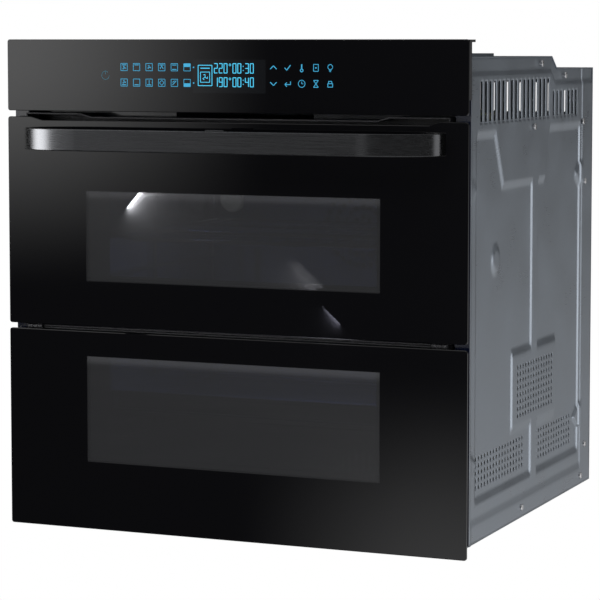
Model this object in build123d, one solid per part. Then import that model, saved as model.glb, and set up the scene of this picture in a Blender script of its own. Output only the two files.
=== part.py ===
from build123d import *
import math
import os

# A built-in wall oven with a horizontally split door.  X runs to the right as seen from the front,
# Y runs into the cabinet and Z runs up.  Everything is laid out from the outer face of the door
# glass (y = 0) and from the underside of the feet (z = 0).  save() then moves each piece so that
# the origin is under the middle of the whole oven.

# Casing
BODY_W = 560.0  # width that goes into the cabinet
BODY_D = 553.0  # door glass face to the rear edge of the side panels
SHEET = 1.0  # casing sheet
FOOT_H = 5.2
FOOT_R = 12.0
TOP_STEP = 21.0  # control panel's top edge above the top cover
TOP_PAD_H = 4.0
REAR_TOP_DROP = 16.0  # the rear of the top cover lies this much lower
REAR_TOP_START = 178.0  # where the slope starts, ahead of the rear edge
REAR_TOP_SLOPE = 22.0
REAR_COVER_D = 16.0
REAR_COVER_W = 340.0

# Glass front
OVERHANG = 17.5  # front beyond the casing, each side
GLASS_T = 4.0
GLASS_R = 3.0
GLASS_DROP = 3.7  # lower glass below the casing
LOWER_GLASS_H = 242.5
UPPER_GLASS_H = 253.2
PANEL_GLASS_H = 86.5
MID_GAP = 6.6
PANEL_GAP = 7.2
TOP_DIP = 4.2  # the middle of the upper door's top edge is this much lower
DIP_END = 31.0  # its raised ends are this long
DIP_RAMP = 16.0

# Door construction
DOOR_D = 34.0  # glass face to the back of the door frame
DOOR_SHEET = 1.5
DOOR_SIDE_GAP = 3.0
WINDOW_W = 382.0
LOWER_SILL, LOWER_HEAD = 83.0, 30.5  # printed border below and above each window
UPPER_SILL, UPPER_HEAD = 54.9, 89.3
WINDOW_EDGE = 8.0  # opening in the frame beyond the clear window
PANE_LAP = 12.0
MIDDLE_PANE_Y = 15.0
SPACER_W = 8.0
FRAME_RISE = 4.7  # upper door frame above its glass

# Front frame and cavity
FLANGE_Y = 15.0
FLANGE_INSET = 2.5
FLANGE_RELIEF = 0.3  # shallow groove that keeps the cabinet's edge off the casing sheet
FRAME_T = 1.5
RECESS_Y = 44.0
WALL_GAP = 0.5
FIXING_R = 2.25
FIXING_SPACING = 300.0
FIXING_LOW = 126.3  # lower fixing hole above the casing's base
CAVITY_SIDE = 55.0  # cavity wall to the outside of the casing
CAVITY_UNDER = 68.3
CAVITY_OVER = 138.0
CAVITY_REAR = 98.0
CAVITY_T = 1.0
WOOL_T = 27.5
WOOL_GAP = 0.5
HEATER_SPACE = 14.0
SHELF_RISE = 61.5  # component shelf above the cavity
SHELF_LIP = 7.0

# Hinges and handle
HINGE_Y, HINGE_RISE = 8.0, 14.0
HINGE_PIN_R = 2.0
HINGE_EYE_R = 3.3
HINGE_INSET = 29.0  # hinge bar inside the casing's side
HINGE_BAR_T = 5.6
CHEEK_T = 6.2
SIDE_PLAY = 0.6
RUNNING = 0.06
MID_HINGE_Y = 3.0
MID_PIN_R = 1.4
MID_KNUCKLE_R = 2.6
MID_KNUCKLE_L = 6.0
HANDLE_STAND = 50.0
HANDLE_H = 26.0
HANDLE_T = 8.0
HANDLE_SPAN = 540.0
HANDLE_BEND = 90.0
HANDLE_DROP = 12.8  # handle top below the raised ends of the door's glass
LEVER_W = 24.0
LEVER_T = 2.6
LEVER_UP = 1.3
LEVER_PLAY = 0.4

# Cavity furniture
RAIL_R, POST_R = 2.5, 3.0
RAIL_PITCH = 47.0
RAIL_LEVELS = 7
FIRST_RAIL = 39.0  # lowest rail above the cavity floor
RACK_WIRE_R, RACK_FRAME_R, RACK_CROSS_R = 1.6, 2.8, 2.4
RACK_PITCH = 21.0
RACK_RAIL_RISE = 11.5
RACK_LIFT = 4.0  # rack frame above the rails' centres
RACK_CORNER = 48.0
RACK_LEVEL, TRAY_LEVEL = 5, 1
TRAY_DEEP = 28.0
TRAY_RIM = 9.0
FRONT_ROOM = 31.0  # rack and tray behind the recess face
BAFFLE_D = 25.0
BAFFLE_SIDE = 49.0
FAN_R, FAN_BLADE = 70.0, 12.0
FAN_SHAFT_R = 4.0
FAN_BLADES = 8
RING_R, TUBE_R = 84.0, 3.3
RING_SIDES, RING_END_BEND = 16, 6.0
LAMP_R, LAMP_D = 18.0, 12.0
LAMP_INSET = 24.0
LAMP_DROP = 60.0
MOTOR_R, MOTOR_L = 30.0, 44.0

# Side panel pressings
PAD_DEPTH = 2.5  # the pads are pressed in, so the channel between them stands proud
LOUVRE_PITCH, LOUVRE_W = 16.3, 8.0
LOUVRE_TOP = 28.0  # below the panel's top edge
LOUVRE_L, REAR_LOUVRE_L = 50.0, 34.0
FRONT_LOUVRE_Y = 102.5
REAR_LOUVRE_BACK = 167.0  # first rear louvre, ahead of the rear edge
HOLE_R = 2.3

# Cooling blower and electronics
BLOWER_R, BLOWER_L = 26.0, 180.0
BLOWER_BACK = 253.0  # its axis ahead of the rear edge
BLOWER_RISE = 35.0
BLOWER_SHAFT_R = 3.0
BLOWER_BLADES = 24
DUCT_H = 22.0
BEZEL_T, BEZEL_D = 2.0, 8.0
BEZEL_LOW = 17.5  # full-width part of the bezel starts this much above the panel glass's edge
GLAND_R, CABLE_R = 10.0, 5.5
GLAND_PLAY = 0.2
SCREW_R, SCREW_HEAD_R, SCREW_HEAD_H = 1.9, 4.0, 2.0
SCREW_PLAY = 0.15

# Places that follow from the sizes above
FRONT_X = BODY_W / 2 + OVERHANG
SIDE_X = BODY_W / 2
GLASS_Z = FOOT_H - GLASS_DROP
LOWER_TOP = GLASS_Z + LOWER_GLASS_H
MID_Z = LOWER_TOP + MID_GAP / 2
UPPER_Z = LOWER_TOP + MID_GAP
UPPER_TOP = UPPER_Z + UPPER_GLASS_H
PANEL_Z = UPPER_TOP + PANEL_GAP
PANEL_TOP = PANEL_Z + PANEL_GLASS_H
BODY_TOP = PANEL_TOP - TOP_STEP
REAR_Y = BODY_D + SHEET + REAR_COVER_D
RECESS_X = SIDE_X - SHEET - WALL_GAP - FRAME_T
DOOR_X = RECESS_X - DOOR_SIDE_GAP
HINGE_Z = GLASS_Z + HINGE_RISE
CAVITY_X = SIDE_X - CAVITY_SIDE
CAVITY_Z = FOOT_H + CAVITY_UNDER
CAVITY_TOP = BODY_TOP - CAVITY_OVER
CAVITY_Y = RECESS_Y + FRAME_T
CAVITY_BACK = BODY_D - CAVITY_REAR
BAFFLE_Y = CAVITY_BACK - BAFFLE_D
HALF_H = (CAVITY_TOP - CAVITY_Z) / 2
FAN_Z = (CAVITY_Z + HALF_H / 2, CAVITY_TOP - HALF_H / 2)
SHELF_Z = CAVITY_TOP + SHELF_RISE
LOWER_WINDOW = (GLASS_Z + LOWER_SILL, LOWER_TOP - LOWER_HEAD)
UPPER_WINDOW = (UPPER_Z + UPPER_SILL, UPPER_TOP - UPPER_HEAD)
HANDLE_TOP = UPPER_TOP - HANDLE_DROP
HANDLE_Z = HANDLE_TOP - HANDLE_H
HINGE_BAR_X = SIDE_X - HINGE_INSET
RAIL_X = CAVITY_X - 8.5
RAIL_Z = [CAVITY_Z + FIRST_RAIL + i * RAIL_PITCH for i in range(RAIL_LEVELS)]
RAIL_Z = [z for z in RAIL_Z if z < CAVITY_TOP - FIRST_RAIL]
RACK_X = CAVITY_X - 12.5
RACK_Z = RAIL_Z[min(RACK_LEVEL, len(RAIL_Z) - 1)] + RACK_LIFT
TRAY_Z = RAIL_Z[TRAY_LEVEL] + RAIL_R + WALL_GAP
RACK_FRONT = RECESS_Y + FRONT_ROOM
RACK_BACK = BAFFLE_Y - 6.0
BLOWER_Y = BODY_D - BLOWER_BACK
BLOWER_Z = SHELF_Z + BLOWER_RISE


def box(x, y, z):
    """A block between two limits on each axis."""
    size = [hi - lo for lo, hi in (x, y, z)]
    return Pos(*[(lo + hi) / 2 for lo, hi in (x, y, z)]) * Box(*size)


def outline(points):
    return make_face(Polyline(*points, close=True))


def front_slab(sketch, y):
    """A sketch drawn as (x, z), given a thickness between two depths."""
    return extrude(Plane.XZ.offset(-y[1]) * sketch, y[1] - y[0])


def side_slab(sketch, x):
    """A sketch drawn as (y, z), given a thickness between two x."""
    return extrude(Plane.YZ.offset(x[0]) * sketch, x[1] - x[0])


def rect(a, b):
    """A rectangle sketch between two limits on each of its axes."""
    return Pos(sum(a) / 2, sum(b) / 2) * Rectangle(a[1] - a[0], b[1] - b[0])


def rod(start, end, r):
    """A round bar from one point to another."""
    line = Line(start, end)
    return extrude(Plane(origin=start, z_dir=line % 0) * Circle(r), line.length)


def x_rod(x, y, z, r):
    return rod((x[0], y, z), (x[1], y, z), r)


def y_rod(x, y, z, r):
    return rod((x, y[0], z), (x, y[1], z), r)


def tube(points, bend, r):
    """A bent tube: straight runs joined by arcs."""
    path = FilletPolyline(*points, radius=bend)
    return sweep(Plane(origin=path @ 0, z_dir=path % 0) * Circle(r), path=path)


def both_sides(shape):
    """A shape and its mirror image across the oven's middle plane."""
    return [shape, mirror(shape, Plane.YZ)]


def group(shapes):
    """Separate like pieces that share one node."""
    solids = [s for shape in shapes for s in shape.solids()]
    return Compound(children=solids)


def glass_sheet(z, y=(0, GLASS_T)):
    """A full-width front glass with rounded corners."""
    face = Pos(0, sum(z) / 2) * RectangleRounded(2 * FRONT_X, z[1] - z[0], GLASS_R)
    return front_slab(face, y)


# --- casing ---------------------------------------------------------------------------------------

def low(h):
    """Height above the casing's base edge."""
    return FOOT_H + h


def high(d):
    """Distance below the casing's top edge."""
    return BODY_TOP - d


def panel_profile():
    rear = BODY_TOP - REAR_TOP_DROP
    notch_y, notch_z = RECESS_Y - 16, HINGE_Z + 2
    start = BODY_D - REAR_TOP_START
    front = FLANGE_Y + FRAME_T + WALL_GAP
    return outline([
        (front, notch_z), (notch_y, notch_z), (notch_y, FOOT_H), (BODY_D, FOOT_H), (BODY_D, rear),
        (start + REAR_TOP_SLOPE, rear), (start, BODY_TOP), (front, BODY_TOP),
    ])


def front_pad():
    """Recessed pressing over the front half of a side panel."""
    return outline([
        (83, low(52)), (83, high(88)), (155, high(88)), (185, high(150)), (296, high(152)),
        (300, high(156)), (300, low(209)), (228, low(207)), (225, low(115)), (292, low(113)),
        (300, low(105)), (300, low(54)), (292, low(46)), (90, low(46)),
    ])


def rear_pad():
    """Recessed pressing over the rear half of a side panel."""
    def back(d):
        return BODY_D - d

    return outline([
        (back(50), low(52)), (back(50), high(88)), (back(185), high(88)), (back(203), high(150)),
        (back(228), high(152)), (back(233), high(158)), (back(233), low(207)), (back(155), low(205)),
        (back(155), low(114)), (back(228), low(112)), (back(233), low(106)), (back(233), low(54)),
        (back(226), low(46)), (back(58), low(46)),
    ])


def louvres():
    """Rows of upright air slots near the top of a side panel."""
    rear_start = BODY_D - REAR_LOUVRE_BACK
    room = rear_start - 2 * LOUVRE_W - FRONT_LOUVRE_Y
    front_count = int(room // LOUVRE_PITCH) + 1
    rows = [(FRONT_LOUVRE_Y, front_count, LOUVRE_TOP, LOUVRE_L),
            (rear_start, 7, LOUVRE_TOP + REAR_TOP_DROP, REAR_LOUVRE_L)]
    slots = Sketch()
    for first, count, drop, length in rows:
        for i in range(count):
            place = Pos(first + i * LOUVRE_PITCH, high(drop + length / 2))
            slots += place * SlotOverall(length, LOUVRE_W / 2, rotation=90)
    return slots


def perforations():
    """Three fields of small air holes low on a side panel."""
    fields = [(314, 159.3, 14, 8, 10.7, 8.6), (181, 81.3, 17, 5, 11.07, 8.5),
              (BODY_D - 155.5, 81.3, 14, 5, 11.04, 8.5)]
    holes = Sketch()
    for y, h, columns, rows, pitch_y, pitch_z in fields:
        holes += [Pos(y, low(h)) * p * Circle(HOLE_R)
                  for p in GridLocations(pitch_y, pitch_z, columns, rows)]
    return holes


def screw_places():
    """Casing screws on each side panel, as (y, z)."""
    def back(d):
        return BODY_D - d

    return [(back(225), high(9)), (back(125), high(25)), (300, high(87)), (back(43), high(87)),
            (back(33), high(166)), (back(26), low(52)), (back(43), low(11.5)), (257, low(12.5))]


def side_panel():
    """Right side panel: pressed sheet with louvres, perforations and two recessed pads."""
    floor = SIDE_X - PAD_DEPTH
    panel = side_slab(panel_profile(), (SIDE_X - SHEET, SIDE_X))
    walls = offset(front_pad(), SHEET) + offset(rear_pad(), SHEET)
    panel += side_slab(walls, (floor - SHEET, SIDE_X))
    panel -= side_slab(front_pad() + rear_pad(), (floor, SIDE_X + SHEET))
    panel -= side_slab(louvres() + perforations(), (floor - 2 * SHEET, SIDE_X + SHEET))
    through = (SIDE_X - 2 * SHEET, SIDE_X + SHEET)
    return panel - [x_rod(through, y, z, SCREW_R + SCREW_PLAY) for y, z in screw_places()]


def casing_screws():
    one_side = []
    for y, z in screw_places():
        head = x_rod((SIDE_X, SIDE_X + SCREW_HEAD_H), y, z, SCREW_HEAD_R)
        head = fillet(head.faces().sort_by(Axis.X)[-1].edges(), SCREW_HEAD_H / 2)
        one_side.append(head + x_rod((SIDE_X - 4 * SHEET, SIDE_X), y, z, SCREW_R))
    return group([s for screw in one_side for s in both_sides(screw)])


def top_cover_front():
    """Front top cover with a raised, hollow pressing."""
    x = SIDE_X - SHEET - 0.1
    end = BODY_D - BLOWER_BACK
    cover = box((-x, x), (FLANGE_Y, end), (BODY_TOP - SHEET, BODY_TOP))
    pad = (-x + 40, x - 40), (60, end - 38)
    cover += box(*pad, (BODY_TOP - SHEET, BODY_TOP + TOP_PAD_H))
    hollow = [(lo + SHEET, hi - SHEET) for lo, hi in pad]
    return cover - box(*hollow, (BODY_TOP - SHEET, BODY_TOP + TOP_PAD_H - SHEET))


def top_cover_rear():
    """Rear top cover, stepped down behind the blower."""
    x = SIDE_X - SHEET - 0.1
    front = BODY_D - BLOWER_BACK + WALL_GAP
    start = BODY_D - REAR_TOP_START
    rear = BODY_TOP - REAR_TOP_DROP
    top = [(front, BODY_TOP), (start, BODY_TOP), (start + REAR_TOP_SLOPE, rear), (BODY_D, rear)]
    under = [(y, z - SHEET) for y, z in reversed(top)]
    return side_slab(outline(top + under), (-x, x))


def base_plate():
    x = SIDE_X - SHEET - 0.1
    plate = box((-x, x), (RECESS_Y - 14, BODY_D - 0.1), (FOOT_H, FOOT_H + SHEET))
    slots = [Pos(px, py, FOOT_H) * Box(8, 60, 4 * SHEET)
             for px in range(-160, 161, 40) for py in (180, BODY_D - 160)]
    return plate - slots


def base_feet():
    places = [(sx * (SIDE_X - 50), y) for sx in (-1, 1) for y in (RECESS_Y + 26, BODY_D - 53)]
    return group([rod((x, y, 0), (x, y, FOOT_H), FOOT_R) for x, y in places])


def rear_panel():
    """Rear sheet with the motor opening and the cable gland's hole."""
    y = (BODY_D, BODY_D + SHEET)
    top = BODY_TOP - REAR_TOP_DROP
    sheet = front_slab(rect((-SIDE_X, SIDE_X), (FOOT_H, top)), y)
    wide = REAR_COVER_W / 2 - 12
    sheet -= front_slab(rect((-wide, wide), (CAVITY_Z + 20, CAVITY_TOP - 20)), y)
    sheet -= y_rod(gland_x(), (y[0] - 1, y[1] + 1), gland_z(), GLAND_R + GLAND_PLAY)
    vents = [Pos(px, top - 40) * SlotOverall(40, 5, rotation=90) for px in range(-240, 241, 20)]
    return sheet - front_slab(Sketch() + vents, (y[0] - 1, y[1] + 1))


def rear_cover():
    """Shallow vented cover over the fan motors."""
    x = REAR_COVER_W / 2
    z = (CAVITY_Z + 8, CAVITY_TOP - 8)
    y = (BODY_D + SHEET, REAR_Y)
    cover = fillet(box((-x, x), y, z).faces().sort_by(Axis.Y)[-1].edges(), 6)
    hollow = box((SHEET - x, x - SHEET), (y[0], y[1] - SHEET), (z[0] + SHEET, z[1] - SHEET))
    cover -= fillet(hollow.faces().sort_by(Axis.Y)[-1].edges(), 5)
    slots = [Pos(sx * 70 + dx, zc + dz) * SlotOverall(24, 5)
             for zc in FAN_Z for sx in (-1, 1) for dx in (-32, 0, 32) for dz in range(-48, 49, 12)]
    return cover - front_slab(Sketch() + slots, (REAR_Y - 3 * SHEET, REAR_Y + 1))


# --- front frame, cavity and wool -----------------------------------------------------------------

def frame_top():
    return BODY_TOP - SHEET


def fixing_heights():
    return (low(FIXING_LOW), low(FIXING_LOW) + FIXING_SPACING)


def front_frame():
    """Enamelled frame: cabinet flanges, door recess and the face round the cavity mouth."""
    x = RECESS_X + FRAME_T
    face = rect((-x, x), (FOOT_H + SHEET, frame_top()))
    face -= rect((-CAVITY_X, CAVITY_X), (CAVITY_Z, CAVITY_TOP))
    face -= rect((-BLOWER_L / 2, BLOWER_L / 2), (SHELF_Z + 2 * SHEET, SHELF_Z + 12))
    half = HINGE_BAR_T / 2 + 1
    for side in (-1, 1):
        middle = side * HINGE_BAR_X
        face -= rect((middle - half, middle + half), (HINGE_Z - HINGE_EYE_R - 1, HINGE_Z + 2.5))
    frame = front_slab(face, (RECESS_Y, CAVITY_Y))
    z = (HINGE_Z, frame_top())
    wall = box((RECESS_X, x), (FLANGE_Y, RECESS_Y), z)
    flange = box((RECESS_X, FRONT_X - FLANGE_INSET), (FLANGE_Y, FLANGE_Y + FRAME_T), z)
    flange -= box((x, SIDE_X + FLANGE_RELIEF), (FLANGE_Y + FRAME_T - FLANGE_RELIEF, RECESS_Y), z)
    for height in fixing_heights():
        flange -= y_rod(fixing_x(), (FLANGE_Y - 1, FLANGE_Y + FRAME_T + 1), height, FIXING_R)
    for piece in both_sides(wall + flange):
        frame += piece
    return frame


def fixing_x():
    """Fixing holes sit midway between the casing and the flange's edge."""
    return (SIDE_X + FRONT_X - FLANGE_INSET) / 2


def fan_centres():
    return [(0, z) for z in FAN_Z]


def lamp_centres():
    x = CAVITY_X - LAMP_INSET
    return [(-x, CAVITY_TOP - LAMP_DROP), (x, CAVITY_Z + LAMP_DROP)]


def sensor_centres():
    x = CAVITY_X - LAMP_INSET
    return [(x, CAVITY_TOP - LAMP_DROP), (-x, CAVITY_Z + LAMP_DROP)]


def oven_cavity():
    """Enamelled steel box, open at the front."""
    x = CAVITY_X + CAVITY_T
    z = (CAVITY_Z - CAVITY_T, CAVITY_TOP + CAVITY_T)
    shell = box((-x, x), (CAVITY_Y, CAVITY_BACK + CAVITY_T), z)
    shell -= box((-CAVITY_X, CAVITY_X), (CAVITY_Y, CAVITY_BACK), (CAVITY_Z, CAVITY_TOP))
    holes = [Pos(*c) * Circle(2 * FAN_SHAFT_R) for c in fan_centres()]
    holes += [Pos(*c) * Circle(LAMP_R - 6) for c in lamp_centres()]
    holes += [Pos(*c) * Circle(RAIL_R) for c in sensor_centres()]
    return shell - front_slab(Sketch() + holes, (CAVITY_BACK - 1, CAVITY_BACK + 2 * CAVITY_T))


def insulation_wrap():
    """Mineral wool round the cavity's top, sides and underside."""
    inner = CAVITY_X + CAVITY_T + WOOL_GAP
    under = CAVITY_Z - CAVITY_T - HEATER_SPACE
    over = CAVITY_TOP + CAVITY_T + WOOL_GAP
    ring = rect((-inner - WOOL_T, inner + WOOL_T), (under - WOOL_T / 2, over + WOOL_T))
    ring -= rect((-inner, inner), (under, over))
    return front_slab(ring, (CAVITY_Y + WOOL_GAP, CAVITY_BACK + CAVITY_T))


def insulation_rear():
    """Mineral wool behind the cavity, open round the motors and the lamps."""
    x = CAVITY_X + CAVITY_T + WOOL_GAP + WOOL_T
    z = (CAVITY_Z - CAVITY_T - HEATER_SPACE, CAVITY_TOP + CAVITY_T + WOOL_T)
    pad = rect((-x, x), z)
    pad -= [Pos(*c) * Circle(MOTOR_R + 16) for c in fan_centres()]
    pad -= [Pos(*c) * Circle(LAMP_R + 2) for c in lamp_centres() + sensor_centres()]
    back = CAVITY_BACK + CAVITY_T
    return front_slab(pad, (back + WOOL_GAP, back + WOOL_T))


def component_shelf():
    """Steel shelf that keeps the electronics off the wool."""
    x = SIDE_X - SHEET - WALL_GAP
    y = (CAVITY_Y + WOOL_GAP, CAVITY_BACK + 15)
    shelf = box((-x, x), y, (SHELF_Z, SHELF_Z + SHEET))
    for side in both_sides(box((x - SHEET, x), y, (SHELF_Z - SHELF_LIP, SHELF_Z))):
        shelf += side
    return shelf


def door_gasket():
    """Soft seal round the cavity mouth, just clear of the closed door."""
    z = CAVITY_TOP - CAVITY_Z
    ring = RectangleRounded(2 * CAVITY_X + 28, z + 28, 18) - RectangleRounded(2 * CAVITY_X + 8, z + 8, 8)
    place = Pos(0, CAVITY_Z + z / 2)
    return front_slab(place * ring, (DOOR_D + WALL_GAP, RECESS_Y))


def side_rack():
    """Right-hand ladder rack of bent wire."""
    post_x = CAVITY_X - POST_R - 1
    front, back = CAVITY_Y + 16, BAFFLE_Y + 4
    posts = (front + 10, (front + back) / 2, back - 10)
    low_z, high_z = RAIL_Z[0] - 20, RAIL_Z[-1] + 20
    rack = y_rod(post_x, (front, back), low_z, RAIL_R) + y_rod(post_x, (front, back), high_z, RAIL_R)
    for y in posts:
        rack += rod((post_x, y, low_z - 4), (post_x, y, high_z + 4), POST_R)
    for z in RAIL_Z:
        rack += y_rod(RAIL_X, (front, back), z, RAIL_R)
    for y in (posts[0], posts[-1]):
        for z in (low_z, high_z):
            rack += x_rod((post_x, CAVITY_X), y, z, RAIL_R - 0.6)
    return rack


def fan_baffle():
    """Rear cover inside the cavity, with an intake grille at each fan and outlet slots."""
    x = CAVITY_X - BAFFLE_SIDE
    z = (CAVITY_Z + 1, CAVITY_TOP - 1)
    tray = box((-x, x), (BAFFLE_Y, CAVITY_BACK), z)
    tray -= box((SHEET - x, x - SHEET), (BAFFLE_Y + SHEET, CAVITY_BACK), (z[0] + SHEET, z[1] - SHEET))
    holes = Sketch()
    for c in fan_centres():
        holes += Pos(*c) * Circle(4)
        for radius, count in ((13, 8), (26, 16), (39, 24), (52, 32)):
            holes += [Pos(*c) * p * Circle(3.6) for p in PolarLocations(radius, count)]
        holes += [Pos(c[0] + sx * (x - 20), c[1] + dz) * SlotOverall(46, 8, rotation=90)
                  for sx in (-1, 1) for dz in (-56, 0, 56)]
    return tray - front_slab(holes, (BAFFLE_Y - 1, BAFFLE_Y + 2 * SHEET))


# --- fans, heaters, lamps -------------------------------------------------------------------------

def fan(z):
    """Convection fan: disc, upright blades, hub and shaft."""
    disc_y = (CAVITY_BACK - 6, CAVITY_BACK - 5)
    wheel = y_rod(0, disc_y, z, FAN_R)
    wheel += y_rod(0, (disc_y[0] - FAN_BLADE, disc_y[0]), z, 9)
    blade = box((24, FAN_R - 1), (disc_y[0] - FAN_BLADE, disc_y[0]), (-0.6, 0.6))
    for i in range(FAN_BLADES):
        wheel += Pos(0, 0, z) * Rot(0, i * 360 / FAN_BLADES, 0) * blade
    return wheel + y_rod(0, (disc_y[1], CAVITY_BACK + CAVITY_T + 60), z, FAN_SHAFT_R)


def upper_fan():
    return fan(FAN_Z[1])


def lower_fan():
    return fan(FAN_Z[0])


def fan_motors():
    motors = []
    wall = CAVITY_BACK + CAVITY_T
    plate_y = (wall + 28, wall + 30)
    for z in FAN_Z:
        motor = box((-40, 40), plate_y, (z - 20, z + 20))
        motor += fillet(y_rod(0, (plate_y[1], plate_y[1] + MOTOR_L), z, MOTOR_R).edges(), 3)
        for x in (-34, 34):
            motor += y_rod(x, (wall, plate_y[0]), z, 3)
        bore = y_rod(0, (plate_y[0] - 1, wall + 60.5), z, FAN_SHAFT_R + RUNNING)
        motors.append(motor - bore)
    return group(motors)


def ring_heaters():
    """A ring of heating tube round each fan, its two ends turned back to the rear wall."""
    y = CAVITY_BACK - 10
    half_side = math.pi / RING_SIDES
    reach = RING_R / math.cos(half_side)
    bends = [RING_END_BEND] + [RING_R - 4] * (RING_SIDES - 2) + [RING_END_BEND]
    rings = []
    for z in FAN_Z:
        turns = [half_side * (2 * k + 1) for k in range(RING_SIDES)]
        corners = [(reach * math.sin(a), z + reach * math.cos(a)) for a in turns]
        points = [(x, y, height) for x, height in corners]
        points.insert(0, (corners[0][0], CAVITY_BACK, corners[0][1]))
        points.append((corners[-1][0], CAVITY_BACK, corners[-1][1]))
        rings.append(tube(points, bends, TUBE_R))
    return group(rings)


def serpentine(x, front, back, turn, legs, z, bend):
    """A flat heating loop that starts and ends at the back."""
    step = 2 * x / (legs - 1)
    points = [(-x, back, z)]
    for i in range(legs):
        across = -x + i * step
        first, last = (turn, front) if i % 2 == 0 else (front, turn)
        if i > 0:
            points.append((across, first, z))
        if i < legs - 1:
            points.append((across, last, z))
    points.append((x, back, z))
    return tube(points, bend, TUBE_R)


def grill_element():
    x = CAVITY_X - 35
    return serpentine(x, CAVITY_Y + 35, CAVITY_BACK, BAFFLE_Y - 30, 10, CAVITY_TOP - 14, 14)


def bottom_heater():
    x = CAVITY_X - 65
    z = CAVITY_Z - CAVITY_T - HEATER_SPACE / 2
    return serpentine(x, CAVITY_Y + 45, CAVITY_BACK - 10, BAFFLE_Y - 40, 6, z, 14)


def lamp_glasses():
    lamps = []
    for x, z in lamp_centres():
        y = (CAVITY_BACK - LAMP_D, CAVITY_BACK)
        dome = fillet(y_rod(x, y, z, LAMP_R).faces().sort_by(Axis.Y)[0].edges(), 4)
        lamps.append(dome - y_rod(x, (y[0] + 2, y[1]), z, LAMP_R - 4))
    return group(lamps)


def lamp_holders():
    lamps = []
    for x, z in lamp_centres():
        wall = CAVITY_BACK + CAVITY_T
        bulb = y_rod(x, (CAVITY_BACK - LAMP_D + 4, wall), z, 7)
        lamps.append(bulb + y_rod(x, (wall, wall + 32), z, LAMP_R - 1))
    return group(lamps)


def temperature_sensors():
    wall = CAVITY_BACK + CAVITY_T
    rods = []
    for x, z in sensor_centres():
        probe = y_rod(x, (CAVITY_BACK - 48, wall + 14), z, RAIL_R)
        rods.append(probe + y_rod(x, (wall, wall + 3), z, 8))
    return group(rods)


# --- rack and tray --------------------------------------------------------------------------------

def wire_rack():
    """Chromed shelf: round frame with cut front corners, raised front rail and long wires."""
    x, front, back, z = RACK_X, RACK_FRONT, RACK_BACK, RACK_Z
    corner = x - RACK_CORNER
    loop = [(-x, back), (-x, front + RACK_CORNER), (-corner, front), (corner, front),
            (x, front + RACK_CORNER), (x, back)]
    rack = tube([(px, py, z) for px, py in loop], 12, RACK_FRAME_R)
    rack += x_rod((-x, x), back - RACK_FRAME_R, z, RACK_CROSS_R)
    rail_z = z + RACK_RAIL_RISE
    rack += x_rod((-corner, corner), front, rail_z, RACK_CROSS_R)
    for y in (front + (back - front) * 0.35, front + (back - front) * 0.7):
        rack += x_rod((-x, x), y, z, RACK_CROSS_R)
    count = int((x - RACK_FRAME_R) // RACK_PITCH)
    for i in range(-count, count + 1):
        at = i * RACK_PITCH
        start = front + max(0, abs(at) - corner)
        rack += y_rod(at, (start, back), z, RACK_WIRE_R)
        if abs(at) < corner:
            rack += rod((at, front, z), (at, front, rail_z), RACK_WIRE_R)
    return rack


def baking_tray():
    """Enamelled tray with a flat rim that rides on the rails."""
    x = RAIL_X + 0.5
    y = (RACK_FRONT - 4, RACK_BACK)
    middle = (0, sum(y) / 2)
    rim = Pos(*middle, TRAY_Z) * extrude(RectangleRounded(2 * x, y[1] - y[0], 14), SHEET)
    wide, long = 2 * (x - TRAY_RIM), y[1] - y[0] - 2 * TRAY_RIM
    deep = TRAY_DEEP
    outer = Pos(*middle, TRAY_Z + SHEET - deep) * extrude(RectangleRounded(wide, long, 20), deep)
    outer = fillet(outer.faces().sort_by(Axis.Z)[0].edges(), 6)
    inside = RectangleRounded(wide - 2 * SHEET, long - 2 * SHEET, 19)
    pocket = Pos(*middle, TRAY_Z + 2 * SHEET - deep) * extrude(inside, deep)
    pocket = fillet(pocket.faces().sort_by(Axis.Z)[0].edges(), 5)
    return rim + outer - pocket


# --- cooling blower -------------------------------------------------------------------------------

def blower_housing():
    """Scroll of the crossflow blower: curved back, outlet floor and roof, and two end plates."""
    inner = BLOWER_R + 4
    half = BLOWER_L / 2 + 4
    front = BLOWER_Y - inner - 8
    floor = SHELF_Z + SHEET
    shell = Pos(BLOWER_Y, BLOWER_Z) * (Circle(inner + SHEET) - Circle(inner))
    shell -= rect((front - 9, BLOWER_Y), (BLOWER_Z - inner - 9, BLOWER_Z + inner + 9))
    shell += rect((front, BLOWER_Y + 0.1), (BLOWER_Z - inner - SHEET, BLOWER_Z - inner))
    scroll = side_slab(shell, (-half, half))
    plate = rect((front, BLOWER_Y + inner + SHEET), (floor, BLOWER_Z + inner))
    plate -= Pos(BLOWER_Y, BLOWER_Z) * Circle(BLOWER_SHAFT_R + RUNNING)
    for end in both_sides(side_slab(plate, (half - SHEET, half))):
        scroll += end
    return scroll


def blower_impeller():
    """Long drum of narrow blades between two discs, on its shaft."""
    half = BLOWER_L / 2
    wheel = x_rod((-half - 4, half + 34), BLOWER_Y, BLOWER_Z, BLOWER_SHAFT_R)
    for x in (-half, half - 2):
        wheel += x_rod((x, x + 2), BLOWER_Y, BLOWER_Z, BLOWER_R)
    blade = Rot(30, 0, 0) * box((-half, half), (-0.5, 0.5), (-3.5, 3.5))
    for i in range(BLOWER_BLADES):
        turn = Rot(i * 360 / BLOWER_BLADES, 0, 0)
        wheel += Pos(0, BLOWER_Y, BLOWER_Z) * turn * Pos(0, 0, BLOWER_R - 4.2) * blade
    return wheel


def blower_motor():
    start = BLOWER_L / 2 + 5
    can = fillet(x_rod((start, start + 40), BLOWER_Y, BLOWER_Z, 24).edges(), 3)
    can += box((start + 8, start + 32), (BLOWER_Y - 16, BLOWER_Y + 16), (SHELF_Z + SHEET, BLOWER_Z))
    return can - x_rod((start - 1, start + 30), BLOWER_Y, BLOWER_Z, BLOWER_SHAFT_R + RUNNING)


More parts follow.
